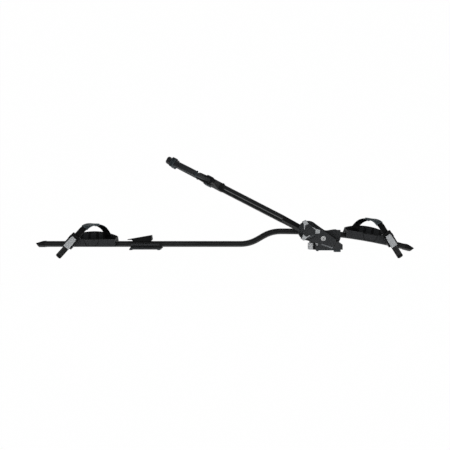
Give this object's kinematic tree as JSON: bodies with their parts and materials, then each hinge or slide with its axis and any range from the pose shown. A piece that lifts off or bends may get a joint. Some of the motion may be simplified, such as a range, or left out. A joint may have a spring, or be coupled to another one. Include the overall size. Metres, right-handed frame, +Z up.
{
  "type": "roof mounted bike carrier",
  "caption": "Roof bar bike carrier: a bent black rail on feet, a folding arm with a two-jaw down tube claw worked by a knob, and strap wheel holders.",
  "frame": {"origin": "middle of the front foot's seat, where its pad stands on the roof bar", "axes": "+X forward along the rail, +Z up, -Y the near side with the knob"},
  "size_m": [1.4406, 0.1428, 0.3902],
  "materials": {
    "anodised_rail": "black anodised, satin",
    "tube_paint": "black powder coat, satin",
    "black_moulding": "fine moulded grain",
    "strap_plastic": "flexible moulded strap",
    "rubber": "matt",
    "silver_plastic": "silver lacquer",
    "bright_steel": "zinc plated",
    "lock_metal": "nickel",
    "clamp_metal": "brushed",
    "bush_plastic": "plain"
  },
  "bodies": {
    "carrier": {"rail": "anodised_rail", "rear_end_cap": "black_moulding", "front_end_cap": "black_moulding", "base_casing": "black_moulding", "base_bar_pad": "rubber", "clamp_plate": "clamp_metal", "clamp_screws": "bright_steel", "rail_cradle": "black_moulding", "rail_cap": "black_moulding", "rail_cap_screws": "bright_steel", "hinge_plate": "bright_steel", "base_cover": "black_moulding", "near_axle": "bright_steel", "far_axle": "bright_steel", "lock_bezel": "lock_metal"},
    "lock": {"lock_plug": "lock_metal", "lock_tongue": "bright_steel"},
    "arm": {"arm_hub": "black_moulding", "hinge_bushes": "bush_plastic", "arm_tube": "tube_paint", "upper_head_shell": "black_moulding", "lower_head_shell": "black_moulding", "head_screws": "bright_steel", "jaw_pins": "bright_steel", "pivot_caps": "rubber"},
    "knob": {"knob": "black_moulding", "knob_marks": "silver_plastic", "knob_cap": "black_moulding", "spindle_drum": "bright_steel", "clutch_plate": "bright_steel", "clutch_spring": "bright_steel"},
    "wedge": {"claw_wedge": "bright_steel", "pull_cable": "bright_steel"},
    "near_jaw": {"near_jaw": "black_moulding", "near_jaw_boot": "rubber"},
    "far_jaw": {"far_jaw": "black_moulding", "far_jaw_boot": "rubber"},
    "rear_foot": {"rear_saddle": "black_moulding", "rear_bar_strips": "rubber", "draw_bolt": "bright_steel", "lever_pin": "bright_steel"},
    "rear_lever": {"rear_lever": "black_moulding"},
    "rear_holder": {"rear_tray": "black_moulding", "rear_strap": "strap_plastic", "rear_rim_pad": "rubber", "rear_buckle": "black_moulding", "rear_anchor_pin": "bright_steel", "rear_release_pin": "bright_steel"},
    "rear_release": {"rear_release_pad": "silver_plastic"},
    "rear_latch": {"rear_latch": "black_moulding"},
    "front_holder": {"front_tray": "black_moulding", "front_strap": "strap_plastic", "front_rim_pad": "rubber", "front_buckle": "black_moulding", "front_anchor_pin": "bright_steel", "front_release_pin": "bright_steel"},
    "front_release": {"front_release_pad": "silver_plastic"},
    "front_latch": {"front_latch": "black_moulding"}
  },
  "joints": [
    {"name": "arm_fold", "type": "hinge", "parent": "carrier", "child": "arm", "pos_m": [-0.0845, -0.0465, 0.0744], "axis": [0, 1, 0], "range_deg": [-24, 62.5]},
    {"name": "knob_turn", "type": "hinge", "parent": "arm", "child": "knob", "pos_m": [-0.0845, -0.0465, 0.0744], "axis": [0, 1, 0], "range_deg": [0, 196]},
    {"name": "wedge_pull", "type": "slide", "parent": "arm", "child": "wedge", "axis": [-0.8838, 0.0854, 0.4601], "range_m": [0, 0.024]},
    {"name": "near_jaw_swing", "type": "hinge", "parent": "arm", "child": "near_jaw", "pos_m": [-0.45668, -0.0328, 0.2633], "axis": [0.4617, 0, 0.887], "range_deg": [0, 20]},
    {"name": "far_jaw_swing", "type": "hinge", "parent": "arm", "child": "far_jaw", "pos_m": [-0.45335, 0.01104, 0.26156], "axis": [-0.4617, 0, -0.887], "range_deg": [0, 20]},
    {"name": "lock_turn", "type": "hinge", "parent": "carrier", "child": "lock", "pos_m": [-0.0276, -0.06, 0.0451], "axis": [0, 1, 0], "range_deg": [0, 90]},
    {"name": "rear_foot_slide", "type": "slide", "parent": "carrier", "child": "rear_foot", "axis": [1, 0, 0], "range_m": [-0.012, 0.2]},
    {"name": "rear_lever_lift", "type": "hinge", "parent": "rear_foot", "child": "rear_lever", "pos_m": [-0.682, 0, 0.0425], "axis": [0, 1, 0], "range_deg": [0, 22]},
    {"name": "rear_holder_slide", "type": "slide", "parent": "carrier", "child": "rear_holder", "axis": [1, 0, 0], "range_m": [-0.08, 0.02]},
    {"name": "rear_release_lift", "type": "hinge", "parent": "rear_holder", "child": "rear_release", "pos_m": [-0.96293, -0.0625, 0.04213], "axis": [-0.7431, 0, 0.6691], "range_deg": [0, 30], "stiffness_Nm_per_rad": 0.2},
    {"name": "rear_latch_press", "type": "slide", "parent": "rear_holder", "child": "rear_latch", "axis": [0, 1, 0], "range_m": [0, 0.003], "stiffness_N_per_m": 300},
    {"name": "front_holder_slide", "type": "hinge", "parent": "carrier", "child": "front_holder", "pos_m": [-0.165, 0, -1.72865], "axis": [0, 1, 0], "range_deg": [-0.25, 1.1]},
    {"name": "front_release_lift", "type": "hinge", "parent": "front_holder", "child": "front_release", "pos_m": [0.21755, -0.0625, 0.05112], "axis": [-0.8494, 0, -0.5277], "range_deg": [0, 30], "stiffness_Nm_per_rad": 0.2},
    {"name": "front_latch_press", "type": "slide", "parent": "front_holder", "child": "front_latch", "axis": [0, 1, 0], "range_m": [0, 0.003], "stiffness_N_per_m": 300}
  ],
  "couplings": [
    {"joint": "wedge_pull", "follows": "knob_turn", "m_per_rad": 0.007},
    {"joint": "near_jaw_swing", "follows": "knob_turn", "ratio": 0.10204},
    {"joint": "far_jaw_swing", "follows": "knob_turn", "ratio": 0.10204}
  ]
}
